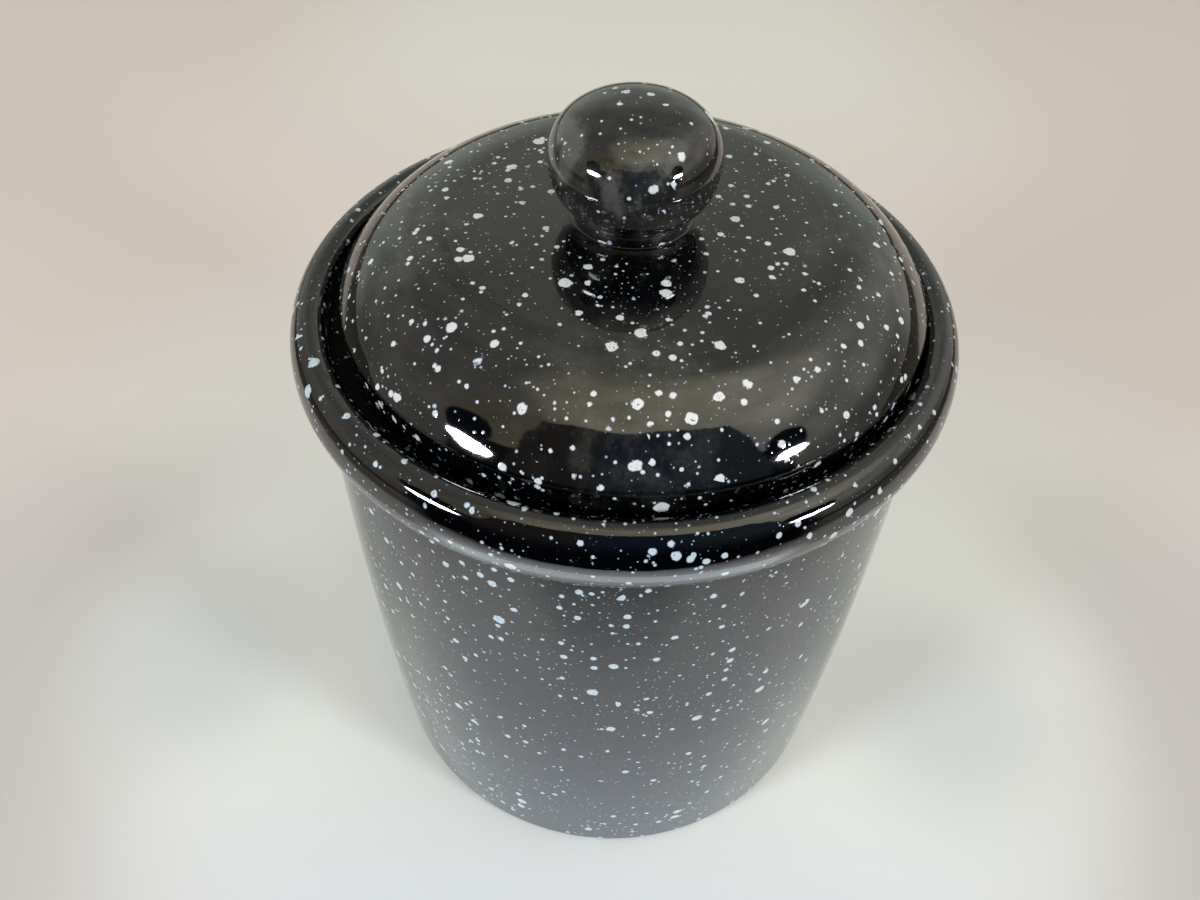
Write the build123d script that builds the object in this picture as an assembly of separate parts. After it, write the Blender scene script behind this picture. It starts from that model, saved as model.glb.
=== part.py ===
from build123d import *
import math
import os

# Ceramic storage canister with a loose drop-in lid and a ball knob.
# Millimetres, +Z up, origin on the table under the middle of the jar.
# Every piece is turned about the Z axis, so each outline is drawn as (radius, height).

# Jar body
body_radius = 75.0
body_bulge = 1.7
wall = 5.5
wall_height = 148.7
floor_thickness = 6.0
base_edge_radius = 4.0
foot_ring_width = 13.0
foot_recess_depth = 2.0
foot_inner_round = 0.8
inner_floor_round = 10.0

# Rolled rim, from the crease where it meets the wall up to its crest
rim_overhang = 5.0
rim_width = 8.9
rim_bulge_height = 10.15
rim_crest_rise = 8.75
rim_crest_inset = 5.7
rim_inner_drop = 2.2
rim_inner_round = 1.3
crease_round = 0.6

# Gallery inside the rim, and the ledge that carries the lid
gallery_depth = 9.0
gallery_round = 1.5
ledge_width = 7.0
ledge_thickness = 6.0
ledge_round = 1.5
ledge_underside_drop = 5.0

# Lid
lid_gap = 2.7
lid_edge_height = 11.6
lid_edge_round = 2.2
lid_foot_round = 1.2
crown_rise = 16.0
crown_radius = 1500.0
shoulder_width = 25.9
lid_wall = 5.5
land_margin = 0.5

# Locating ring under the lid
ring_clearance = 2.3
ring_depth = 6.0
ring_wall = 5.1
ring_round = 1.8

# The lid lies off centre by this much, within the clearance of its locating ring
lid_shift_x = 1.7
lid_shift_y = -0.8

# Knob, set by hand a little off the middle of the lid
knob_shift_x = -0.85
knob_shift_y = -0.65
knob_radius = 18.75
knob_widest_height = 14.0
knob_top_rise = 13.3
knob_neck_radius = 13.3
knob_neck_height = 1.8
knob_skirt_reach = 2.5
knob_skirt_rise = 0.5
knob_skirt_lip = 0.12
knob_under_round = 1.5
knob_under_slope = 34.0
knob_under_reach = 1.0
knob_side_reach = 5.8
knob_shoulder_reach = 11.5
knob_crown_reach = 6.8

# Places that follow from the sizes above
bow_height = wall_height / 2
bow_radius = (bow_height ** 2 + body_bulge ** 2) / (2 * body_bulge)
rim_radius = body_radius + rim_overhang
gallery_radius = rim_radius - rim_width
mouth_radius = gallery_radius - ledge_width
widest_height = wall_height + rim_bulge_height
crest_height = widest_height + rim_crest_rise
seat_height = crest_height - gallery_depth
ledge_bottom = seat_height - ledge_thickness
floor_top = foot_recess_depth + floor_thickness
lid_radius = gallery_radius - lid_gap
ring_radius = mouth_radius - ring_clearance
hollow_radius = ring_radius - ring_wall
edge_height = seat_height + lid_edge_height
crown_height = edge_height + crown_rise
skirt_radius = knob_neck_radius + knob_skirt_reach
land_radius = skirt_radius + math.hypot(knob_shift_x, knob_shift_y) + land_margin


def rounded(face, corner, radius):
    """The outline with its corner nearest to this point rounded."""
    vertex = face.vertices().sort_by_distance(corner)[0]
    return fillet(vertex, radius)


def turned(face):
    """The solid that the outline sweeps in one full turn about Z."""
    return revolve(Plane.XZ * face, Axis.Z)


def inner_radius(height):
    """The wall's inside radius at a height. It bows about the same centre as the outside."""
    reach = math.sqrt((bow_radius - wall) ** 2 - (height - bow_height) ** 2)
    return body_radius + body_bulge - bow_radius + reach


def chain(points):
    """Straight edges through the points in order."""
    return [Line(a, b) for a, b in zip(points, points[1:])]


# Jar

def make_jar():
    foot_radius = body_radius - foot_ring_width
    crease = (body_radius, wall_height)
    widest = (rim_radius, widest_height)
    crest = (rim_radius - rim_crest_inset, crest_height)
    rim_inner = (gallery_radius, crest_height - rim_inner_drop)
    gallery_corner = (gallery_radius, seat_height)
    ledge_edge = (mouth_radius, seat_height)
    ledge_under = (mouth_radius, ledge_bottom)
    wall_top_height = ledge_bottom - ledge_underside_drop
    wall_top = (inner_radius(wall_top_height), wall_top_height)
    inner_widest = (inner_radius(bow_height), bow_height)
    floor_corner = (inner_radius(floor_top), floor_top)
    base_edge = (body_radius, 0)
    foot_inner = (foot_radius, 0)
    foot_recess = (foot_radius, foot_recess_depth)

    foot = chain([(0, foot_recess_depth), foot_recess, foot_inner, base_edge])
    outside = [
        ThreePointArc(base_edge, (body_radius + body_bulge, bow_height), crease),
        TangentArc(widest, crease, tangent=(0, -1)),
        EllipticalCenterArc((crest[0], widest_height), rim_crest_inset, rim_crest_rise, 0, arc_size=90),
        TangentArc(crest, rim_inner, tangent=(-1, 0)),
    ]
    gallery = chain([rim_inner, gallery_corner, ledge_edge, ledge_under, wall_top])
    inside = [ThreePointArc(wall_top, inner_widest, floor_corner)]
    floor = chain([floor_corner, (0, floor_top), (0, foot_recess_depth)])
    outline = make_face(foot + outside + gallery + inside + floor)
    outline = rounded(outline, foot_inner, foot_inner_round)
    outline = rounded(outline, base_edge, base_edge_radius)
    outline = rounded(outline, crease, crease_round)
    outline = rounded(outline, rim_inner, rim_inner_round)
    outline = rounded(outline, gallery_corner, gallery_round)
    outline = rounded(outline, ledge_edge, ledge_round)
    outline = rounded(outline, ledge_under, ledge_round)
    outline = rounded(outline, floor_corner, inner_floor_round)
    return turned(outline)


# Lid crown: a very flat arc in the middle and a tighter shoulder arc that meets it smoothly

shoulder_start = lid_radius - shoulder_width
crown_tilt = math.asin(shoulder_start / crown_radius)
crown_centre = crown_height - crown_radius
shoulder_top = crown_centre + crown_radius * math.cos(crown_tilt)
chord_rise = shoulder_top - edge_height
chord_tilt = math.atan2(chord_rise, shoulder_width)
edge_tilt = 2 * chord_tilt - crown_tilt
shoulder_radius = math.hypot(chord_rise, shoulder_width) / (2 * math.sin(chord_tilt - crown_tilt))
shoulder_centre_radius = (crown_radius - shoulder_radius) * math.sin(crown_tilt)
shoulder_centre_height = crown_centre + (crown_radius - shoulder_radius) * math.cos(crown_tilt)
land_tilt = math.asin(land_radius / crown_radius)
land_height = crown_centre + crown_radius * math.cos(land_tilt)


def crown_arc(inset, from_tilt, to_tilt):
    """Part of the flat middle arc, this far inside the lid's outer face."""
    turn = math.degrees(from_tilt - to_tilt)
    return CenterArc((0, crown_centre), crown_radius - inset, 90 - math.degrees(from_tilt), turn)


def shoulder_arc(inset, to_tilt):
    """The shoulder arc from where it meets the middle one, this far inside the outer face."""
    centre = (shoulder_centre_radius, shoulder_centre_height)
    turn = math.degrees(crown_tilt - to_tilt)
    return CenterArc(centre, shoulder_radius - inset, 90 - math.degrees(crown_tilt), turn)


def make_lid():
    hollow_tilt = math.asin((hollow_radius - shoulder_centre_radius) / (shoulder_radius - lid_wall))
    hollow_side = shoulder_centre_height + (shoulder_radius - lid_wall) * math.cos(hollow_tilt)
    edge = (lid_radius, edge_height)
    edge_foot = (lid_radius, seat_height)
    ring_root = (ring_radius, seat_height)
    ring_outer = (ring_radius, seat_height - ring_depth)
    ring_inner = (hollow_radius, seat_height - ring_depth)
    hollow_top = (0, crown_height - lid_wall)

    outline = make_face(
        [Line((0, land_height), (land_radius, land_height))]
        + [crown_arc(0, land_tilt, crown_tilt), shoulder_arc(0, edge_tilt)]
        + chain([edge, edge_foot, ring_root, ring_outer, ring_inner, (hollow_radius, hollow_side)])
        + [shoulder_arc(lid_wall, hollow_tilt), crown_arc(lid_wall, 0, crown_tilt)]
        + [Line(hollow_top, (0, land_height))]
    )
    outline = rounded(outline, edge, lid_edge_round)
    outline = rounded(outline, edge_foot, lid_foot_round)
    outline = rounded(outline, ring_outer, ring_round)
    outline = rounded(outline, ring_inner, ring_round)
    return Pos(lid_shift_x, lid_shift_y, 0) * turned(outline)


# Knob, joined face to face to the flat land in the middle of the crown. The thin skirt is the joining slip.

def make_knob():
    base = land_height
    lip_height = base + knob_skirt_lip
    neck_foot = (knob_neck_radius, lip_height + knob_skirt_rise)
    neck_top = (knob_neck_radius, neck_foot[1] + knob_neck_height)
    round_centre = (knob_neck_radius + knob_under_round, neck_top[1])
    slope = math.radians(knob_under_slope)
    under_start = (
        round_centre[0] - knob_under_round * math.sin(slope),
        round_centre[1] + knob_under_round * math.cos(slope),
    )
    under_pull = (
        under_start[0] + knob_under_reach * math.cos(slope),
        under_start[1] + knob_under_reach * math.sin(slope),
    )
    widest = (knob_radius, crown_height + knob_widest_height)
    side_pull = (knob_radius, widest[1] - knob_side_reach)
    shoulder_pull = (knob_radius, widest[1] + knob_shoulder_reach)
    top = (0, widest[1] + knob_top_rise)
    crown_pull = (knob_crown_reach, top[1])
    skirt = EllipticalCenterArc(
        (skirt_radius, neck_foot[1]), knob_skirt_reach, knob_skirt_rise, 180, arc_size=90
    )

    outline = make_face([
        Line((0, base), (skirt_radius, base)),
        Line((skirt_radius, base), (skirt_radius, lip_height)),
        skirt,
        Line(neck_foot, neck_top),
        CenterArc(round_centre, knob_under_round, 180, knob_under_slope - 90),
        Bezier(under_start, under_pull, side_pull, widest),
        Bezier(widest, shoulder_pull, crown_pull, top),
        Line(top, (0, base)),
    ])
    return Pos(lid_shift_x + knob_shift_x, lid_shift_y + knob_shift_y, 0) * turned(outline)


os.makedirs("parts", exist_ok=True)
export_step(make_jar(), "parts/jar.step")
export_step(make_lid(), "parts/lid.step")
export_step(make_knob(), "parts/knob.step")
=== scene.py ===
# %% [markdown]
# # A speckled black canister
# This lesson dresses a ceramic storage canister: a jar with a rolled rim, a low domed lid that sits
# inside the rim, and a ball knob. The shapes come from the CAD frame and are exact, so the work here is
# the glaze. A black glaze has almost no colour of its own. What the eye sees is the room in it and the
# white spatter on it, so this scene spends its effort on three things: the spots, the faint dusty marks
# on the gloss, and the room that the gloss mirrors.

# %% Load the frame
import math

import bpy
from mathutils import Matrix, Vector


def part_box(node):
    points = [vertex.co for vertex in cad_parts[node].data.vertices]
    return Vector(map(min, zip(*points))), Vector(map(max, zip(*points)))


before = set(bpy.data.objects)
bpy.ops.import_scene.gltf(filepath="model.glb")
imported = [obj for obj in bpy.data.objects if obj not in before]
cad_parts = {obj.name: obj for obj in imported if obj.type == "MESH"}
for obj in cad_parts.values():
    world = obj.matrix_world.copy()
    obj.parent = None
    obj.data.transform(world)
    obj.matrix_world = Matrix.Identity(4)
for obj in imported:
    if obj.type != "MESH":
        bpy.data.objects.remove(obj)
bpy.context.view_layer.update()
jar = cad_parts["jar"]
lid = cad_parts["lid"]
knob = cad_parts["knob"]
for node in (jar, lid, knob):
    low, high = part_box(node.name)
    print(node.name, len(node.data.polygons), "faces,", [round(1000 * s, 1) for s in high - low], "mm")

# %% [markdown]
# ## Small helpers for materials
# A procedural material is a graph of nodes. Written out by hand, each node takes four or five lines, and
# the idea gets lost. One helper that makes a node, sets its values and wires what is passed as a socket
# keeps every step of the glaze on one line.

# %% Node helpers
def add(tree, kind, settings=None, **sockets):
    """A new node of this kind. Sockets are named by their label, and take a value or another socket."""
    made = tree.nodes.new(kind)
    for name, value in (settings or {}).items():
        setattr(made, name, value)
    for name, value in sockets.items():
        wire(tree, made.inputs[name.replace("_", " ")], value)
    return made


def wire(tree, socket, value):
    """Links a socket to a socket, or sets it to a plain value."""
    if isinstance(value, bpy.types.NodeSocket):
        tree.links.new(value, socket)
    else:
        socket.default_value = value


def maths(tree, operation, first, second=0.0, third=0.0):
    """One Math node's result."""
    made = add(tree, "ShaderNodeMath", {"operation": operation})
    for socket, value in zip(made.inputs, (first, second, third)):
        wire(tree, socket, value)
    return made.outputs[0]


def vector_maths(tree, operation, first, second=(0, 0, 0)):
    """One Vector Math node's vector result."""
    made = add(tree, "ShaderNodeVectorMath", {"operation": operation})
    wire(tree, made.inputs[0], first)
    wire(tree, made.inputs[1], second)
    return made.outputs["Vector"]


def ramp(tree, value, low, high, to_low=0.0, to_high=1.0):
    """Follows value smoothly from to_low at low to to_high at high, and stays there outside."""
    made = add(tree, "ShaderNodeMapRange", {"interpolation_type": "SMOOTHSTEP"})
    for socket, setting in zip(made.inputs, (value, low, high, to_low, to_high)):
        wire(tree, socket, setting)
    return made.outputs[0]


def fade(tree, value, low, high, full=1.0):
    """The other way round: full up to low, and falling smoothly to 0 at high."""
    return ramp(tree, value, low, high, full, 0.0)


def mix_colour(tree, share, first, second):
    """A colour between two others."""
    made = add(tree, "ShaderNodeMix", {"data_type": "RGBA"})
    wire(tree, made.inputs[0], share)
    wire(tree, made.inputs[6], first)
    wire(tree, made.inputs[7], second)
    return made.outputs[2]


def distance_from_axis(tree, place, axis):
    """How far a place is from an upright axis at this (x, y), in the place's own unit."""
    moved = vector_maths(tree, "SUBTRACT", place, (axis[0], axis[1], 0))
    level = vector_maths(tree, "MULTIPLY", moved, (1, 1, 0))
    measured = add(tree, "ShaderNodeVectorMath", {"operation": "LENGTH"}, Vector=level)
    return measured.outputs["Value"]


def distance_from_point(tree, place, point):
    """How far a place is from a point, in the place's own unit."""
    measured = add(tree, "ShaderNodeVectorMath", {"operation": "DISTANCE"})
    wire(tree, measured.inputs[0], place)
    wire(tree, measured.inputs[1], point)
    return measured.outputs["Value"]


print("helpers ready")

# %% [markdown]
# ## The spatter
# The white spots are a second glaze flicked on with a stiff brush. It lands as a few fat drops with lobed
# edges, more middling ones, and a fine spray between them, in loose clusters. The spots could be painted
# on an image, or modelled one by one, but an image blurs close up and meshes would be thousands. A
# Voronoi texture fits better: each of its cells has one point in it, so each cell can hold one drop, with
# a size and a chance drawn for that cell. It works in three dimensions, so the spray goes round the rim
# and the knob with no seam.

# %% One size of drops
SMALLEST_RADIUS = 0.35
SMALL_ONES_FAVOURED = 2.2
FAR_OUTSIDE = 100.0


def make_drops_group():
    """A node group: how many millimetres inside a drop's edge each point is, below 0 outside.

    Each cell draws a radius, as a share of the largest, and whether it has a drop at all.
    """
    tree = bpy.data.node_groups.new("drops of one size", "ShaderNodeTree")
    tree.interface.new_socket("Place", in_out="INPUT", socket_type="NodeSocketVector")
    for label in ("Spacing", "Largest", "Share", "Ragged"):
        tree.interface.new_socket(label, in_out="INPUT", socket_type="NodeSocketFloat")
    tree.interface.new_socket("Inside", in_out="OUTPUT", socket_type="NodeSocketFloat")
    given = add(tree, "NodeGroupInput").outputs
    wobble = add(tree, "ShaderNodeTexNoise", Vector=given["Place"], Scale=0.9, Detail=2.0)
    wobble = vector_maths(tree, "SUBTRACT", wobble.outputs["Color"], (0.5, 0.5, 0.5))
    wobble = vector_maths(tree, "MULTIPLY", wobble, given["Ragged"])
    moved = vector_maths(tree, "ADD", given["Place"], wobble)
    cells = add(
        tree,
        "ShaderNodeTexVoronoi",
        Vector=vector_maths(tree, "DIVIDE", moved, given["Spacing"]),
        Scale=1.0,
        Randomness=0.9,
    )
    drawn = add(tree, "ShaderNodeSeparateColor", Color=cells.outputs["Color"]).outputs
    size = maths(tree, "POWER", drawn["Red"], SMALL_ONES_FAVOURED)
    size = maths(tree, "MULTIPLY_ADD", size, 1.0 - SMALLEST_RADIUS, SMALLEST_RADIUS)
    radius = maths(tree, "MULTIPLY", given["Largest"], size)
    distance = maths(tree, "MULTIPLY", cells.outputs["Distance"], given["Spacing"])
    inside = maths(tree, "SUBTRACT", radius, distance)
    missing = maths(tree, "GREATER_THAN", drawn["Green"], given["Share"])
    inside = maths(tree, "SUBTRACT", inside, maths(tree, "MULTIPLY", missing, FAR_OUTSIDE))
    wire(tree, add(tree, "NodeGroupOutput").inputs["Inside"], inside)
    return tree


drops_group = make_drops_group()
print("drops group:", len(drops_group.nodes), "nodes")

# %% All the drops together
# Each size has the distance between drops and the radius of its largest one in mm, the share of places
# that have a drop, and how ragged its edge is in mm.
NO_DROP = -1.0
DROP_SIZES = {
    "fat": (5.3, 1.55, 0.72, 1.0),
    "middling": (3.5, 1.0, 0.66, 0.5),
    "small": (1.95, 0.48, 0.60, 0.2),
    "spray": (1.2, 0.21, 0.50, 0.0),
}


def spatter(tree, place, plenty):
    """Millimetres inside the nearest drop's edge, over all sizes. plenty gives each size's amount."""
    deepest = NO_DROP
    for size, (spacing, largest, share, ragged) in DROP_SIZES.items():
        drops = add(
            tree,
            "ShaderNodeGroup",
            {"node_tree": drops_group},
            Place=place,
            Spacing=spacing,
            Largest=largest,
            Share=maths(tree, "MULTIPLY", plenty[size], share),
            Ragged=ragged,
        )
        deepest = maths(tree, "MAXIMUM", drops.outputs["Inside"], deepest)
    return deepest


print("drop sizes:", ", ".join(DROP_SIZES))

# %% [markdown]
# ## The black glaze
# One clear gloss lies over black and white alike, so a single Principled shader is enough: its colour
# changes under a gloss that doesn't. The real glaze is not a perfect mirror. It has a slow wave that bends
# reflections, each drop stands a little proud, and use has left dull, dusty marks that catch the light.
# The wave and the drops are a bump, because they are hundredths of a millimetre high. The marks change
# only the roughness and a trace of colour.

# %% Dusty marks
# For each noise, the values between which the dust grows, then the share of dust at each. A place is full
# of dust out to DUST_FULL of its radius, and clear of it from DUST_ENDS.
DUST_CLOUDS = (0.40, 0.68, 0.10, 1.0)
DUST_GRAIN = (0.30, 0.72, 0.45, 1.0)
DUST_EVERYWHERE = 0.03
DUST_FULL = 0.35
DUST_ENDS = 1.1


def dusty_marks(tree, here, place, dusty, dust_places):
    """How dusty each point is: cloudy and grainy, and most in the places that are often touched."""
    swept = vector_maths(tree, "MULTIPLY", place, (1.0, 1.0, 0.55))
    clouds = add(tree, "ShaderNodeTexNoise", Vector=swept, Scale=0.13, Detail=5.0, Roughness=0.6)
    clouds = ramp(tree, clouds.outputs["Fac"], *DUST_CLOUDS)
    grain = add(tree, "ShaderNodeTexNoise", Vector=place, Scale=1.1, Detail=5.0, Roughness=0.75)
    grain = ramp(tree, grain.outputs["Fac"], *DUST_GRAIN)
    touched = DUST_EVERYWHERE
    for middle, radius in dust_places:
        away = distance_from_point(tree, here, middle)
        near = fade(tree, away, DUST_FULL * radius, DUST_ENDS * radius)
        touched = maths(tree, "MAXIMUM", near, touched)
    marks = maths(tree, "MULTIPLY", maths(tree, "MULTIPLY", clouds, grain), touched)
    return maths(tree, "MULTIPLY", marks, dusty)


print("dusty marks ready")

# %% Cover and relief of the drops
# Each edge is from where it begins to where it ends, in mm inside the drop. Bump heights are in metres.
COVER_EDGE = (-0.05, 0.07)
PIT_EDGE = (0.25, 0.5)
PIT_NOISE = (0.62, 0.70)
PIT_DEPTH = 0.8
RAISED_EDGE = (-0.08, 0.30)
WAVE_HEIGHT = 0.00011
DROP_HEIGHT = 0.000025


def drop_cover(tree, place, inside):
    """1 in a drop, less in the small pits of the fat ones, and 0 outside."""
    cover = ramp(tree, inside, *COVER_EDGE)
    pits = add(tree, "ShaderNodeTexNoise", Vector=place, Scale=2.3, Detail=1.0).outputs["Fac"]
    pits = maths(tree, "MULTIPLY", ramp(tree, pits, *PIT_NOISE), ramp(tree, inside, *PIT_EDGE))
    kept = maths(tree, "SUBTRACT", 1.0, maths(tree, "MULTIPLY", pits, PIT_DEPTH))
    return maths(tree, "MULTIPLY", cover, kept)


def relief(tree, place, inside):
    """The normal of the glaze: a slow wave, with each drop a little proud of it."""
    wave = add(tree, "ShaderNodeTexNoise", Vector=place, Scale=0.075, Detail=3.0).outputs["Fac"]
    slow = add(tree, "ShaderNodeBump", Height=wave, Distance=WAVE_HEIGHT, Strength=1.0)
    raised = ramp(tree, inside, *RAISED_EDGE)
    proud = add(tree, "ShaderNodeBump", Height=raised, Distance=DROP_HEIGHT, Strength=1.0)
    wire(tree, proud.inputs["Normal"], slow.outputs["Normal"])
    return proud.outputs["Normal"]


print("cover and relief ready")

# %% The glaze
# CROWD has the noise's values between which the drops grow more crowded, then how crowded they are at each.
# TINTED_EDGE is where the colour of a drop's edge begins and ends, in mm inside the drop.
GLAZE_BLACK = (0.0008, 0.001, 0.0016, 1)
DROP_WHITE = (0.86, 0.90, 0.95, 1)
DROP_BLUISH = (0.66, 0.80, 0.92, 1)
DROP_EDGE = (0.28, 0.36, 0.50, 1)
DUST = (0.085, 0.087, 0.085, 1)
MIST = (0.24, 0.33, 0.45, 1)
BARE_CLAY = (0.55, 0.46, 0.37, 1)
FULL_GLOSS = (1, 1, 1, 1)
# A black specular tint: painted shade in the gallery's corner.
PAINTED_SHADE_TINT = (0, 0, 0, 1)
CLEAN_ROUGHNESS = 0.04
DUSTY_ROUGHNESS = 0.12
CLAY_ROUGHNESS = 0.85
GLAZE_IOR = 1.9
CROWD = (0.35, 0.65, 0.45, 1.45)
TINTED_EDGE = (0.0, 0.22)


def make_glaze(name, seed, drop_colour, plenty, dusty, dust_places, mist, special):
    """Speckled black glaze.

    seed is how far the noises are moved in mm. plenty gives the amount of each size of drop and mist that
    of the finest spray. dusty is how strong the dust is, and dust_places are (middle, radius) in mm.
    special gives how dull a place is at least, which is also how much painted shade takes its reflection
    away, and its share of bare clay.
    """
    material = bpy.data.materials.new(name)
    material.use_nodes = True
    tree = material.node_tree
    shader = tree.nodes["Principled BSDF"]
    metres = add(tree, "ShaderNodeTexCoord").outputs["Object"]
    here = vector_maths(tree, "MULTIPLY", metres, (1000, 1000, 1000))
    height = add(tree, "ShaderNodeSeparateXYZ", Vector=here).outputs["Z"]
    place = vector_maths(tree, "ADD", here, seed)

    crowd = add(tree, "ShaderNodeTexNoise", Vector=place, Scale=0.045, Detail=2.0).outputs["Fac"]
    crowd = ramp(tree, crowd, *CROWD)
    inside = spatter(tree, place, plenty(tree, height, crowd))
    drop = mix_colour(tree, ramp(tree, inside, *TINTED_EDGE), DROP_EDGE, drop_colour)
    marks = dusty_marks(tree, here, place, dusty, dust_places)
    dull, bare = special(tree, here, height)

    black = mix_colour(tree, marks, GLAZE_BLACK, DUST)
    black = mix_colour(tree, mist(tree, height), black, MIST)
    colour = mix_colour(tree, drop_cover(tree, place, inside), black, drop)
    wire(tree, shader.inputs["Base Color"], mix_colour(tree, bare, colour, BARE_CLAY))
    gloss = ramp(tree, marks, 0.0, 1.0, CLEAN_ROUGHNESS, DUSTY_ROUGHNESS)
    rough = maths(tree, "MAXIMUM", dull, maths(tree, "MULTIPLY", bare, CLAY_ROUGHNESS))
    wire(tree, shader.inputs["Roughness"], maths(tree, "MAXIMUM", gloss, rough))
    # Painted shade: where the gallery's corner is shaded, a black specular tint takes the reflection away.
    if isinstance(dull, bpy.types.NodeSocket):
        wire(tree, shader.inputs["Specular Tint"], mix_colour(tree, dull, FULL_GLOSS, PAINTED_SHADE_TINT))
    shader.inputs["IOR"].default_value = GLAZE_IOR
    wire(tree, shader.inputs["Normal"], relief(tree, place, inside))
    print(name, len(tree.nodes), "nodes")
    return material


print("glaze ready")

# %% How much spatter each piece caught
# Heights are in mm, each from where a change begins to where it ends.
RIM_BEGINS = (148.0, 154.0)
UPPER_WALL = (60.0, 120.0)
LOWER_WALL = (20.0, 80.0)
MISTY_WALL = (5.0, 110.0)
MIST_ENDS = (140.0, 150.0)
# How much more there is of a size from there up, and how much there is everywhere.
RIM_FAT = (0.45, 0.50)
RIM_MIDDLING = (0.40, 1.30)
WALL_SMALL = (0.5, 0.85)
WALL_SPRAY = (0.3, 1.0)
# How much there is at the foot, and how much above it.
WALL_FINE = (2.2, 1.4)
WALL_MIST = (0.20, 0.02)
LID_PLENTY = 1.8
KNOB_FEW = 0.55
KNOB_PLENTY = 1.5


def jar_amounts(tree, height, crowd):
    """The rim caught the most, and the wall more small drops than fat ones."""
    rim = ramp(tree, height, *RIM_BEGINS)
    upper = ramp(tree, height, *UPPER_WALL)
    fine = maths(tree, "MULTIPLY", crowd, ramp(tree, height, *LOWER_WALL, *WALL_FINE))
    return {
        "fat": maths(tree, "MULTIPLY", crowd, maths(tree, "MULTIPLY_ADD", rim, *RIM_FAT)),
        "middling": maths(tree, "MULTIPLY", crowd, maths(tree, "MULTIPLY_ADD", rim, *RIM_MIDDLING)),
        "small": maths(tree, "MULTIPLY", fine, maths(tree, "MULTIPLY_ADD", upper, *WALL_SMALL)),
        "spray": maths(tree, "MULTIPLY", fine, maths(tree, "MULTIPLY_ADD", upper, *WALL_SPRAY)),
    }


def lid_amounts(tree, height, crowd):
    """The lid has fat drops in clusters."""
    more = maths(tree, "MULTIPLY", crowd, LID_PLENTY)
    return {"fat": more, "middling": more, "small": more, "spray": more}


def knob_amounts(tree, height, crowd):
    """The knob caught only a few drops, and more of the spray."""
    few = maths(tree, "MULTIPLY", crowd, KNOB_FEW)
    more = maths(tree, "MULTIPLY", crowd, KNOB_PLENTY)
    return {"fat": few, "middling": few, "small": more, "spray": more}


def jar_mist(tree, height):
    """Spray too fine to see as drops, thickest at the foot, with none on the rim."""
    on_wall = ramp(tree, height, *MISTY_WALL, *WALL_MIST)
    return maths(tree, "MULTIPLY", on_wall, fade(tree, height, *MIST_ENDS))


def no_mist(tree, height):
    """The lid and the knob have none."""
    return 0.0


print("amounts for the jar, the lid and the knob ready")

# %% Bare clay
# Where the lid was fired on the jar, both are bare. The ledge is as high as the underside of the lid's
# edge, one locating ring above the lid's lowest point. Lengths are in mm. A skin is how far a glazed face
# may lie from a bare one's height and still count as bare.
RING_DEPTH = 6.0
BARE_INSIDE_EDGE = 0.8
lid_low, lid_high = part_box("lid")
SEAT = 1000 * lid_low.z + RING_DEPTH
LID_AXIS = (500 * (lid_low.x + lid_high.x), 500 * (lid_low.y + lid_high.y))
BARE_RADIUS = 500 * (lid_high.x - lid_low.x) - BARE_INSIDE_EDGE
FOOT_EDGE = (0.15, 0.30)
LEDGE_SKIN = 0.2
LID_SKIN = 0.12
# Painted shade in the gallery's corner: its reflection is taken away, as if the deep gap let no light in,
# and it is dull as well.
CORNER_RADIUS = 69.0
CORNER_HALF_WIDTH = 3.0
CORNER_RISE = (SEAT + 3.0, SEAT + 7.0)
CORNER_DULL_AND_SHADED = 0.8


def jar_special(tree, here, height):
    """Bare clay where the jar stands and where the lid was fired on it. The gallery's corner is dull, and
    painted shade takes its reflection away.
    """
    foot = fade(tree, height, *FOOT_EDGE)
    seat = maths(tree, "COMPARE", height, SEAT, LEDGE_SKIN)
    covered = maths(tree, "LESS_THAN", distance_from_axis(tree, here, LID_AXIS), BARE_RADIUS)
    bare = maths(tree, "MAXIMUM", foot, maths(tree, "MULTIPLY", seat, covered))
    out = distance_from_axis(tree, here, (0, 0))
    corner = maths(tree, "COMPARE", out, CORNER_RADIUS, CORNER_HALF_WIDTH)
    corner = maths(tree, "MULTIPLY", corner, fade(tree, height, *CORNER_RISE))
    corner = maths(tree, "MULTIPLY", corner, maths(tree, "GREATER_THAN", height, SEAT - LEDGE_SKIN))
    return maths(tree, "MULTIPLY", corner, CORNER_DULL_AND_SHADED), bare


def lid_special(tree, here, height):
    """Bare clay on the flat ring that rests on the ledge."""
    return 0.0, maths(tree, "COMPARE", height, SEAT, LID_SKIN)


def knob_special(tree, here, height):
    """The knob is glazed all over."""
    return 0.0, 0.0


print("seat at", round(SEAT, 1), "mm, bare out to", round(BARE_RADIUS, 1), "mm from the lid's axis")

# %% Glaze on each piece
# Lifting the lid leaves dust on its shoulder and on the knob. Each place is its middle and radius in mm.
LID_DUST = [((52, -12, 182), 19), ((-50, -12, 182), 22), ((2, -55, 182), 26), ((-30, 40, 184), 16)]
KNOB_DUST = [
    ((-14, -9, 206), 8),
    ((5, -19, 202), 9),
    ((-4, -19, 202), 8),
    ((-8, -16, 194), 8),
    ((6, -15, 193), 7),
]
# Each piece has what make_glaze takes after the name, in its order.
PIECES = {
    "jar": ((13, 41, 7), DROP_BLUISH, jar_amounts, 0.5, [], jar_mist, jar_special),
    "lid": ((70, 15, 33), DROP_WHITE, lid_amounts, 0.6, LID_DUST, no_mist, lid_special),
    "knob": ((31, 52, 90), DROP_WHITE, knob_amounts, 3.2, KNOB_DUST, no_mist, knob_special),
}
glazes = {name: make_glaze(name + " glaze", *settings) for name, settings in PIECES.items()}
for node in (jar, lid, knob):
    node.data.materials.clear()
    node.data.materials.append(glazes[node.name])
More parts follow.
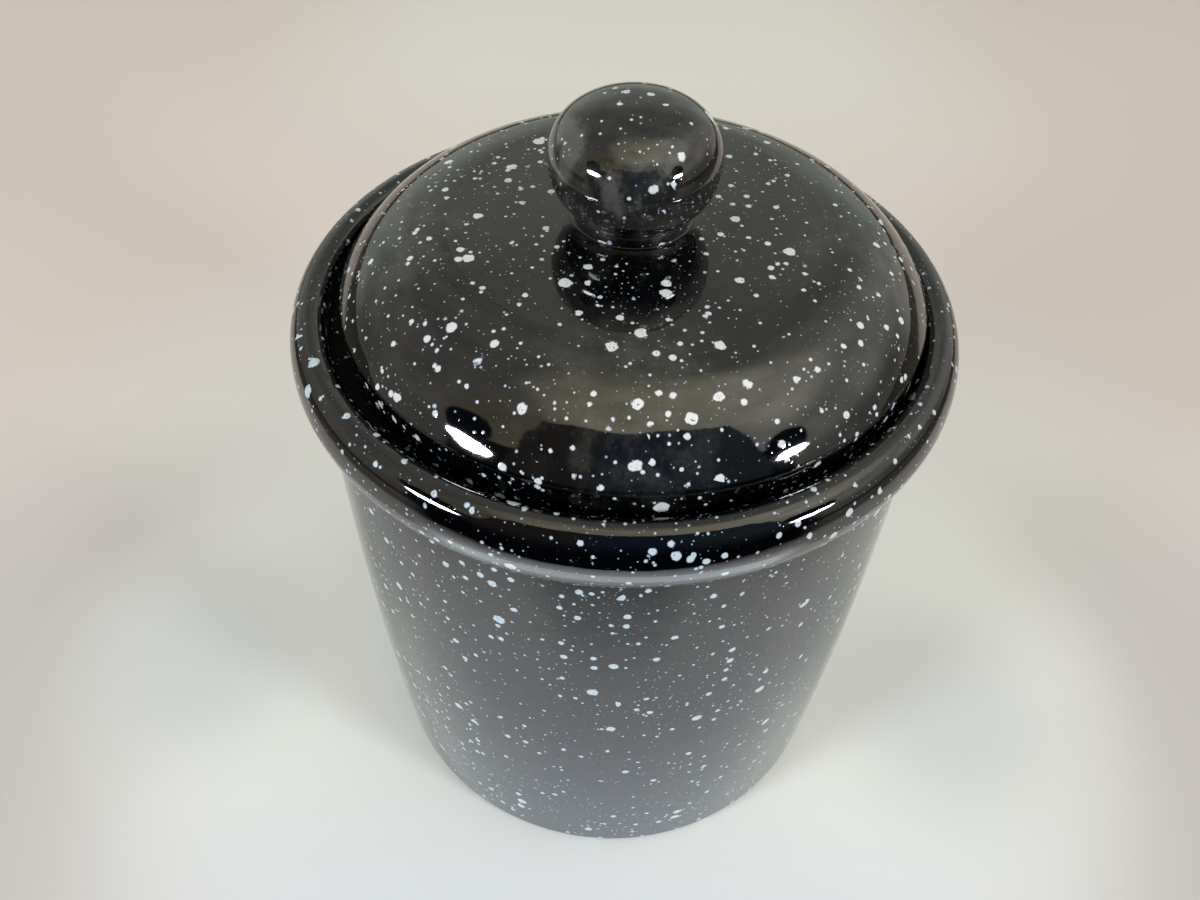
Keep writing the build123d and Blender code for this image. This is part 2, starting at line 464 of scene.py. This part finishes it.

# %% [markdown]
# ## Floor
# The canister stands on a pale sheet. It could be a plain grey plane, but black glaze mirrors the floor
# all the way round, so its tone decides how the wall and the underside of the rim look. In the photograph
# the sheet is cool and bright close to the jar, greyer just in front, warm at the sides and cool again far
# behind, from how the room lights it. Broad soft mixes by place paint that light and shade into the sheet's
# colour with no pattern: painted light close to the jar, away from it and far behind, and painted shade
# just in front and in two soft shadows beside the foot. Past the edge of the picture the sheet ends on a
# dark brown table, which only the knob, the lid's edge and the sides of the rim mirror. The camera sees the
# pale sheet all the way instead, so that the canister stands on the same ground from every side.

# %% Floor sheet
FLOOR_REACH = 4.0
square = [(-1, -1), (1, -1), (1, 1), (-1, 1)]
floor_mesh = bpy.data.meshes.new("floor")
floor_mesh.from_pydata([(FLOOR_REACH * x, FLOOR_REACH * y, 0) for x, y in square], [], [(0, 1, 2, 3)])
floor = bpy.data.objects.new("floor", floor_mesh)
bpy.context.scene.collection.objects.link(floor)
print("floor:", 2 * FLOOR_REACH, "m square")

# %% Floor places
# Distances in metres, each from where a change begins to where it ends. SHEET_WIDENS is how far each side
# of the sheet spreads for each metre towards the back.
# Painted warm light on the sheet away from the jar.
PAINTED_WARM_LIGHT_FROM_JAR = (0.18, 0.34)
# Painted shade on the sheet just in front of the jar, greyer to the sides of it.
PAINTED_SHADE_TO_BACK = (0.0, 0.12)
PAINTED_SHADE_FROM_JAR = (0.13, 0.22)
PAINTED_SHADE_SIDES_FROM = (0.11, 0.18)
MIRRORED_PLACE = (0, -0.24)
MIRRORED_REACH = (0.06, 0.13)
# Painted light close to the jar, lifting the floor where the jar's own shade falls on it.
PAINTED_LIGHT_REACH = (0.11, 0.20)
PAINTED_LIGHT_SIDES_FROM = (-0.11, -0.04)
# Painted shadows: the jar's soft shadows on the sheet beside its foot, each a place and how far it reaches.
PAINTED_SHADOW_PLACES = ((0.125, -0.025), (-0.155, -0.015))
PAINTED_SHADOW_REACH = (0.01, 0.065)
PAINTED_SHADOW_STRENGTH = 0.75
# Painted light far behind the jar, in the middle.
PAINTED_LIGHT_FAR_FROM = (0.22, 0.50)
PAINTED_LIGHT_FAR_REACH = (0.10, 0.34)
SHEET_WIDENS = 0.55
SHEET_SIDES = (0.38, 0.55)
SHEET_FRONT = (-0.42, -0.28)
SHEET_BACK = (1.2, 1.8)

sheet = bpy.data.materials.new("pale sheet")
sheet.use_nodes = True
tree = sheet.node_tree
spot = add(tree, "ShaderNodeTexCoord").outputs["Object"]
across = add(tree, "ShaderNodeSeparateXYZ", Vector=spot).outputs
from_jar = distance_from_axis(tree, spot, (0, 0))
aside = maths(tree, "ABSOLUTE", across["X"])
# Painted shade just in front of the jar.
front = maths(
    tree,
    "MULTIPLY",
    fade(tree, across["Y"], *PAINTED_SHADE_TO_BACK),
    ramp(tree, from_jar, *PAINTED_SHADE_FROM_JAR),
)
# Painted light far behind the jar.
painted_light_far = maths(
    tree,
    "MULTIPLY",
    ramp(tree, across["Y"], *PAINTED_LIGHT_FAR_FROM),
    fade(tree, aside, *PAINTED_LIGHT_FAR_REACH),
)
mirrored = fade(tree, distance_from_axis(tree, spot, MIRRORED_PLACE), *MIRRORED_REACH)
# Painted shadows beside the foot.
painted_shadows = 0.0
for place in PAINTED_SHADOW_PLACES:
    shade = fade(tree, distance_from_axis(tree, spot, place), *PAINTED_SHADOW_REACH, PAINTED_SHADOW_STRENGTH)
    painted_shadows = maths(tree, "MAXIMUM", shade, painted_shadows)
beside = maths(tree, "MULTIPLY_ADD", across["Y"], -SHEET_WIDENS, aside)
beyond = maths(tree, "MAXIMUM", ramp(tree, beside, *SHEET_SIDES), fade(tree, across["Y"], *SHEET_FRONT))
beyond = maths(tree, "MAXIMUM", beyond, ramp(tree, across["Y"], *SHEET_BACK))
unseen = maths(tree, "SUBTRACT", 1.0, add(tree, "ShaderNodeLightPath").outputs["Is Camera Ray"])
beyond = maths(tree, "MULTIPLY", beyond, unseen)
print("sheet reaches", SHEET_BACK[0], "m behind the jar and", -SHEET_FRONT[1], "m in front")

# %% Floor colour
# Most of these tones paint the room's light and shade into the sheet: warm light away from the jar, shade
# in front, light near the jar, the shadows beside the foot and light far behind.
FLOOR_PALE = (0.89, 0.88, 0.90, 1)
FLOOR_PAINTED_WARM_LIGHT = (0.84, 0.76, 0.76, 1)
# The colours of the painted shade just in front of the jar.
FLOOR_PAINTED_SHADE_FRONT = (0.66, 0.665, 0.73, 1)
FLOOR_PAINTED_SHADE_FRONT_SIDES = (0.64, 0.61, 0.62, 1)
FLOOR_MIRRORED = (0.70, 0.75, 0.80, 1)
# Painted light close to the jar, in front and at the sides.
FLOOR_PAINTED_LIGHT_FRONT = (0.84, 0.89, 1.0, 1)
FLOOR_PAINTED_LIGHT_SIDES = (0.97, 1.0, 1.0, 1)
# The colour of the painted shadows beside the foot.
FLOOR_PAINTED_SHADOW = (0.72, 0.75, 0.78, 1)
FLOOR_PAINTED_LIGHT_FAR = (0.92, 0.92, 0.92, 1)
FLOOR_BEYOND = (0.16, 0.14, 0.12, 1)
FLOOR_ROUGHNESS = 0.9
FLOOR_GLOSS = 0.2

painted_shade_front_tone = mix_colour(tree, ramp(tree, aside, *PAINTED_SHADE_SIDES_FROM), FLOOR_PAINTED_SHADE_FRONT, FLOOR_PAINTED_SHADE_FRONT_SIDES)
# Painted light close to the jar.
painted_light_near = mix_colour(
    tree,
    ramp(tree, across["Y"], *PAINTED_LIGHT_SIDES_FROM),
    FLOOR_PAINTED_LIGHT_FRONT,
    FLOOR_PAINTED_LIGHT_SIDES,
)
# Each mix paints light or shade into the sheet's tone.
tone = mix_colour(tree, ramp(tree, from_jar, *PAINTED_WARM_LIGHT_FROM_JAR), FLOOR_PALE, FLOOR_PAINTED_WARM_LIGHT)
tone = mix_colour(tree, front, tone, painted_shade_front_tone)
tone = mix_colour(tree, mirrored, tone, FLOOR_MIRRORED)
tone = mix_colour(tree, fade(tree, from_jar, *PAINTED_LIGHT_REACH), tone, painted_light_near)
tone = mix_colour(tree, painted_shadows, tone, FLOOR_PAINTED_SHADOW)
tone = mix_colour(tree, painted_light_far, tone, FLOOR_PAINTED_LIGHT_FAR)
tone = mix_colour(tree, beyond, tone, FLOOR_BEYOND)
shader = tree.nodes["Principled BSDF"]
wire(tree, shader.inputs["Base Color"], tone)
shader.inputs["Roughness"].default_value = FLOOR_ROUGHNESS
shader.inputs["Specular IOR Level"].default_value = FLOOR_GLOSS
floor_mesh.materials.append(sheet)
print("pale sheet:", len(tree.nodes), "nodes")

# %% [markdown]
# ## The room in the glaze
# Everything on the glaze is a mirror image: a pale room, a glowing ceiling, and dark things in front. A
# photograph of a room could be wrapped round the scene, but here the room is made of a few soft patches
# of colour by direction, so that each one can be matched to the place where it shows. The ceiling shows
# on top of the knob and in the middle of the lid, the walls on the lid's shoulder and the rim, and the
# dark front in the near side of both. The camera itself sees only a plain backdrop.

# %% Directions
world = bpy.data.worlds.new("room")
bpy.context.scene.world = world
world.use_nodes = True
tree = world.node_tree
tree.nodes.clear()
way = add(tree, "ShaderNodeTexCoord").outputs["Generated"]
parts = add(tree, "ShaderNodeSeparateXYZ", Vector=way).outputs
elevation = maths(tree, "DEGREES", maths(tree, "ARCSINE", parts["Z"]))
azimuth = maths(tree, "ARCTAN2", parts["X"], maths(tree, "MULTIPLY", parts["Y"], -1.0))
azimuth = maths(tree, "DEGREES", azimuth)
clouds = add(tree, "ShaderNodeTexNoise", Vector=way, Scale=2.6, Detail=3.0, Roughness=0.6).outputs["Fac"]


def direction(azimuth_degrees, elevation_degrees):
    """The unit vector of a direction. Azimuth 0 is towards the viewer, and grows to the right."""
    a, e = math.radians(azimuth_degrees), math.radians(elevation_degrees)
    return math.sin(a) * math.cos(e), -math.cos(a) * math.cos(e), math.sin(e)


def within(azimuth_degrees, elevation_degrees, inner, outer):
    """1 within the inner angle of a direction, falling to 0 at the outer angle. All in degrees."""
    dot = add(tree, "ShaderNodeVectorMath", {"operation": "DOT_PRODUCT"})
    wire(tree, dot.inputs[0], way)
    wire(tree, dot.inputs[1], direction(azimuth_degrees, elevation_degrees))
    return ramp(tree, dot.outputs["Value"], math.cos(math.radians(outer)), math.cos(math.radians(inner)))


RAGGED_TOP = 8.0
TOP_SOFTNESS = 1.2
SIDE_SOFTNESS = 2.0


def block(low_azimuth, high_azimuth, top):
    """1 in a block of the room from the ground up to a ragged top. All in degrees."""
    ragged = maths(tree, "MULTIPLY_ADD", clouds, RAGGED_TOP, top - RAGGED_TOP / 2)
    over = maths(tree, "SUBTRACT", elevation, ragged)
    under = fade(tree, over, -TOP_SOFTNESS, TOP_SOFTNESS)
    from_left = ramp(tree, azimuth, low_azimuth - SIDE_SOFTNESS, low_azimuth + SIDE_SOFTNESS)
    from_right = fade(tree, azimuth, high_azimuth - SIDE_SOFTNESS, high_azimuth + SIDE_SOFTNESS)
    return maths(tree, "MULTIPLY", under, maths(tree, "MULTIPLY", from_left, from_right))


print("directions ready")

# %% Pale room
# A patch has its direction, then the angles at which it is full and at which it has gone.
WALL_LOW = (0.54, 0.57, 0.51, 1)
WALL_HIGH = (0.36, 0.36, 0.32, 1)
WALL_TURNS = (12.0, 42.0)
RIGHT_WALL = (0.72, 0.70, 0.63, 1)
RIGHT_WALL_PATCH = (90, 15, 35, 60)
LEFT_WALL = (0.38, 0.36, 0.32, 1)
LEFT_WALL_PATCH = (-80, 25, 25, 50)
SIDE_HORIZON = (0.30, 0.29, 0.26, 1)
HORIZON_SIDES = (105.0, 140.0)
HORIZON_TOP = (6.0, 22.0)
LEFT_CORNER = (0.38, 0.34, 0.23, 1)
LEFT_CORNER_PATCH = (-45, 38, 12, 26)
BRIGHT_CORNER = (1.25, 1.20, 1.00, 1)
BRIGHT_CORNER_PATCH = (80, 56, 10, 28)
CEILING_GLOW = (1.02, 0.93, 0.68, 1)
CEILING_PATCH = (8, 75, 4, 34)

walls = mix_colour(tree, ramp(tree, elevation, *WALL_TURNS), WALL_LOW, WALL_HIGH)
walls = mix_colour(tree, within(*RIGHT_WALL_PATCH), walls, RIGHT_WALL)
walls = mix_colour(tree, within(*LEFT_WALL_PATCH), walls, LEFT_WALL)
side_on = fade(tree, maths(tree, "ABSOLUTE", azimuth), *HORIZON_SIDES)
low_down = fade(tree, elevation, *HORIZON_TOP)
walls = mix_colour(tree, maths(tree, "MULTIPLY", side_on, low_down), walls, SIDE_HORIZON)
walls = mix_colour(tree, within(*LEFT_CORNER_PATCH), walls, LEFT_CORNER)
walls = mix_colour(tree, within(*BRIGHT_CORNER_PATCH), walls, BRIGHT_CORNER)
room_colour = mix_colour(tree, within(*CEILING_PATCH), walls, CEILING_GLOW)
print("pale room:", len(tree.nodes), "nodes")

# %% Dark front
# The room is dark at its near end, and so are the housings of the two lamps.
DARK_LEFT = -62.0
DARK_RIGHT = 58.0
DARK_TOP = 24.0
DARK_COLOUR = (0.010, 0.012, 0.020, 1)
LEFT_HOUSING = (-59, 26, 8, 10)
RIGHT_HOUSING = (60, 24, 7, 9)

dark = block(DARK_LEFT, DARK_RIGHT, DARK_TOP)
dark = maths(tree, "MAXIMUM", dark, within(*LEFT_HOUSING))
dark = maths(tree, "MAXIMUM", dark, within(*RIGHT_HOUSING))
room_colour = mix_colour(tree, dark, room_colour, DARK_COLOUR)
print("dark front: from", DARK_LEFT, "to", DARK_RIGHT, "degrees")

# %% World output
# ROOM_CLOUDS has the noise's values between which the room grows brighter, then its strength at each.
BACKDROP = (0.66, 0.63, 0.61, 1)
ROOM_CLOUDS = (0.3, 0.7, 0.8, 1.2)

cloudy = ramp(tree, clouds, *ROOM_CLOUDS)
room = add(tree, "ShaderNodeBackground", Color=room_colour, Strength=cloudy)
backdrop = add(tree, "ShaderNodeBackground", Color=BACKDROP, Strength=1.0)
seen = add(tree, "ShaderNodeLightPath").outputs["Is Camera Ray"]
both = add(tree, "ShaderNodeMixShader")
wire(tree, both.inputs[0], seen)
wire(tree, both.inputs[1], room.outputs[0])
wire(tree, both.inputs[2], backdrop.outputs[0])
wire(tree, add(tree, "ShaderNodeOutputWorld").inputs[0], both.outputs[0])
print("room:", len(tree.nodes), "nodes")

# %% [markdown]
# ## Lamps
# Two soft lamps stand low in front, left and right. They make the oval highlights on the knob's neck, the
# lid's shoulder and the rim. Points would give hard sparks and a sun would light the whole floor flat, so
# each is an oval area lamp, as wide as its highlight needs.

# %% Lamps
LAMP_COLOUR = (0.93, 0.97, 1.0)
LAMP_TARGET = Vector((0, 0, 0.17))
LAMP_DISTANCE = 1.2
LAMP_ELEVATION = 15


def lamp(name, azimuth, width, depth, power):
    """A soft oval lamp aimed at the lid."""
    data = bpy.data.lights.new(name, "AREA")
    data.shape = "ELLIPSE"
    data.size = width
    data.size_y = depth
    data.energy = power
    data.color = LAMP_COLOUR
    made = bpy.data.objects.new(name, data)
    bpy.context.scene.collection.objects.link(made)
    away = Vector(direction(azimuth, LAMP_ELEVATION))
    made.location = LAMP_TARGET + LAMP_DISTANCE * away
    made.rotation_euler = away.to_track_quat("Z", "Y").to_euler()
    return made


left_lamp = lamp("left lamp", azimuth=-53, width=0.38, depth=0.13, power=8.0)
right_lamp = lamp("right lamp", azimuth=57, width=0.26, depth=0.11, power=6.0)
print("lamps at", [round(c, 2) for c in left_lamp.location], [round(c, 2) for c in right_lamp.location])

# %% [markdown]
# ## What stands close in front
# Two more things show in the glaze, and both are too near for a patch of the world. One lies on the table
# in front of the sheet and the rim mirrors it: on the ground its black is painted shade of the floor in
# front, its upright far end is the dark front of the room, and close to the jar it glows as painted light
# of the bright floor at the foot. The other is tall and dark and stands close to the jar: it is low in the
# knob but high in the lid, which only a shape at its true distance gives. Each is a card that only mirrored
# rays meet, so neither darkens the scene.

# %% Cards
def make_card(name, corners, faces):
    """A mesh that only mirrored rays see."""
    mesh = bpy.data.meshes.new(name)
    mesh.from_pydata(corners, [], faces)
    made = bpy.data.objects.new(name, mesh)
    bpy.context.scene.collection.objects.link(made)
    made.visible_camera = False
    made.visible_diffuse = False
    made.visible_shadow = False
    return made


def finish_card(card, tree, cover, colour):
    """Paints the card this colour where cover is 1, and leaves it clear where cover is 0."""
    clear = add(tree, "ShaderNodeBsdfTransparent")
    paint = add(tree, "ShaderNodeEmission")
    wire(tree, paint.inputs["Color"], colour)
    both = add(tree, "ShaderNodeMixShader")
    wire(tree, both.inputs[0], cover)
    wire(tree, both.inputs[1], clear.outputs[0])
    wire(tree, both.inputs[2], paint.outputs[0])
    wire(tree, add(tree, "ShaderNodeOutputMaterial").inputs[0], both.outputs[0])
    print(card.name, len(tree.nodes), "nodes")


def card_tree(card):
    """An empty material on the card."""
    material = bpy.data.materials.new(card.name)
    material.use_nodes = True
    material.node_tree.nodes.clear()
    card.data.materials.append(material)
    return material.node_tree


# %% Table card
# On the ground its black is painted shade of the floor in front. It fades in away from the jar, later at
# the sides than in front, and stands up at its far end. Close to the jar it glows instead, painted light
# for the bright floor at the foot, but only for what mirrors it from as high as the rim: the line of light
# along the underside of the rim is its image.
CARD_TURN = 62
CARD_NEAR = 0.078
CARD_FAR = 0.42
CARD_HEIGHT = 0.19
CARD_LIFT = 0.0005
CARD_STEPS = 24

corners = []
faces = []
for step in range(CARD_STEPS + 1):
    a = math.radians(CARD_TURN * (2 * step / CARD_STEPS - 1))
    for distance, height in ((CARD_NEAR, CARD_LIFT), (CARD_FAR, CARD_LIFT), (CARD_FAR, CARD_HEIGHT)):
        corners.append((distance * math.sin(a), -distance * math.cos(a), height))
for step in range(CARD_STEPS):
    for first in (3 * step, 3 * step + 1):
        faces.append((first, first + 3, first + 4, first + 1))
table = make_card("table card", corners, faces)

# %% Where the table card is black: painted shade
# Angles in degrees from straight in front, distances in metres from the jar's axis.
CARD_PAINTED_SHADE_FROM = (0.12, 0.28)
LATER_FROM = (10.0, 50.0)
LATER_BY = 0.14
CARD_SIDES = (CARD_TURN - 14.0, CARD_TURN - 2.0)

tree = card_tree(table)
spot = add(tree, "ShaderNodeTexCoord").outputs["Object"]
away = distance_from_axis(tree, spot, (0, 0))
across = add(tree, "ShaderNodeSeparateXYZ", Vector=spot).outputs
turned = maths(tree, "ARCTAN2", maths(tree, "ABSOLUTE", across["X"]), maths(tree, "ABSOLUTE", across["Y"]))
turned = maths(tree, "DEGREES", turned)
later = ramp(tree, turned, *LATER_FROM, 0.0, LATER_BY)
black = ramp(tree, maths(tree, "SUBTRACT", away, later), *CARD_PAINTED_SHADE_FROM)
black = maths(tree, "MAXIMUM", black, maths(tree, "GREATER_THAN", across["Z"], 2 * CARD_LIFT))
print("table card: black from", CARD_PAINTED_SHADE_FROM[1], "m on")

# %% Where the table card glows: painted light
# How high a thing is that mirrors the card follows from how long the mirrored ray is and how steeply it
# comes down. Distances and heights are in metres.
GLOW_RISES = (0.06, 0.14)
GLOW_FALLS = (0.19, 0.31)
GLOW_ABOVE = (0.149, 0.151)
# Painted light: the glow stands in for the bright floor at the jar's foot, and the black for the shade in
# front.
CARD_BLACK = (0.001, 0.001, 0.003, 1)
CARD_GLOW = (1.72, 1.84, 1.92, 1)

length = add(tree, "ShaderNodeLightPath").outputs["Ray Length"]
slant = add(tree, "ShaderNodeLayerWeight", Blend=0.5).outputs["Facing"]
mirror_height = maths(tree, "MULTIPLY", length, maths(tree, "SUBTRACT", 1.0, slant))
glow = maths(tree, "MULTIPLY", ramp(tree, away, *GLOW_RISES), fade(tree, away, *GLOW_FALLS))
glow = maths(tree, "MULTIPLY", glow, ramp(tree, mirror_height, *GLOW_ABOVE))
cover = maths(tree, "MULTIPLY", maths(tree, "MAXIMUM", black, glow), fade(tree, turned, *CARD_SIDES))
finish_card(table, tree, cover, mix_colour(tree, glow, CARD_BLACK, CARD_GLOW))

# %% Tall card
# Its top is ragged and rises to both sides, and it goes black towards its foot. Lengths are in metres.
TALL_AWAY = 0.14
TALL_LEFT = -0.085
TALL_RIGHT = 0.12
TALL_FOOT = 0.11
TALL_TOP = 0.296
TALL_MARGIN = 0.03
TOP_RISES = 0.3
TALL_RAGS = 0.025
TALL_EDGE = 0.003
TALL_BROWN = (0.070, 0.060, 0.050, 1)
TALL_NAVY = (0.034, 0.050, 0.100, 1)
TALL_TEAL = (0.062, 0.090, 0.108, 1)
NAVY_FROM = (-0.030, -0.004)
TEAL_FROM = (0.020, 0.055)
BLACK_BELOW = (0.15, 0.21)

corners = [
    (TALL_LEFT - TALL_MARGIN, -TALL_AWAY, TALL_FOOT),
    (TALL_RIGHT + TALL_MARGIN, -TALL_AWAY, TALL_FOOT),
    (TALL_RIGHT + TALL_MARGIN, -TALL_AWAY, 2 * TALL_TOP),
    (TALL_LEFT - TALL_MARGIN, -TALL_AWAY, 2 * TALL_TOP),
]
tall = make_card("tall card", corners, [(0, 1, 2, 3)])
tree = card_tree(tall)
spot = add(tree, "ShaderNodeTexCoord").outputs["Object"]
across = add(tree, "ShaderNodeSeparateXYZ", Vector=spot).outputs
top = maths(tree, "MULTIPLY_ADD", maths(tree, "ABSOLUTE", across["X"]), TOP_RISES, TALL_TOP)
inside = maths(tree, "SUBTRACT", top, across["Z"])
inside = maths(tree, "MINIMUM", inside, maths(tree, "SUBTRACT", across["X"], TALL_LEFT))
inside = maths(tree, "MINIMUM", inside, maths(tree, "SUBTRACT", TALL_RIGHT, across["X"]))
rags = add(tree, "ShaderNodeTexNoise", Vector=spot, Scale=22.0, Detail=3.0).outputs["Fac"]
rags = maths(tree, "MULTIPLY", maths(tree, "SUBTRACT", rags, 0.5), TALL_RAGS)
cover = ramp(tree, maths(tree, "ADD", inside, rags), -TALL_EDGE, TALL_EDGE)
tone = mix_colour(tree, ramp(tree, across["X"], *NAVY_FROM), TALL_BROWN, TALL_NAVY)
tone = mix_colour(tree, ramp(tree, across["X"], *TEAL_FROM), tone, TALL_TEAL)
tone = mix_colour(tree, ramp(tree, across["Z"], *BLACK_BELOW), CARD_BLACK, tone)
finish_card(tall, tree, cover, tone)

# %% [markdown]
# ## Camera
# The camera looks down at the lid from close by, so the jar tapers strongly towards its foot. Its place,
# tilt and focal length come from fitting the outlines of the CAD shapes to those in the photograph. The
# three directions are written out, so that the picture's right, down and depth are plain to see.

# %% Camera
# Angles in radians, and the focal length in pixels of a picture this many pixels wide.
PITCH, YAW, ROLL = 0.84117, -0.02895, -0.02569
FOCAL_PIXELS = 913.6
PHOTO_WIDTH = 1200
SENSOR_WIDTH = 36.0
CAMERA_PLACE = (0.00009, -0.17732, 0.30346)
ahead = Vector((math.sin(YAW) * math.cos(PITCH), math.cos(YAW) * math.cos(PITCH), -math.sin(PITCH)))
level = Vector((math.cos(YAW), -math.sin(YAW), 0))
below = ahead.cross(level)
side = math.cos(ROLL) * level + math.sin(ROLL) * below
down = math.cos(ROLL) * below - math.sin(ROLL) * level
camera_data = bpy.data.cameras.new("camera")
camera_data.sensor_width = SENSOR_WIDTH
camera_data.lens = FOCAL_PIXELS * SENSOR_WIDTH / PHOTO_WIDTH
camera = bpy.data.objects.new("camera", camera_data)
bpy.context.scene.collection.objects.link(camera)
turn = Matrix((side, -down, -ahead)).transposed()
camera.matrix_world = Matrix.Translation(CAMERA_PLACE) @ turn.to_4x4()
bpy.context.scene.camera = camera
print("camera:", round(camera_data.lens, 1), "mm lens")

# %% Colour handling
bpy.context.scene.view_settings.view_transform = "Standard"
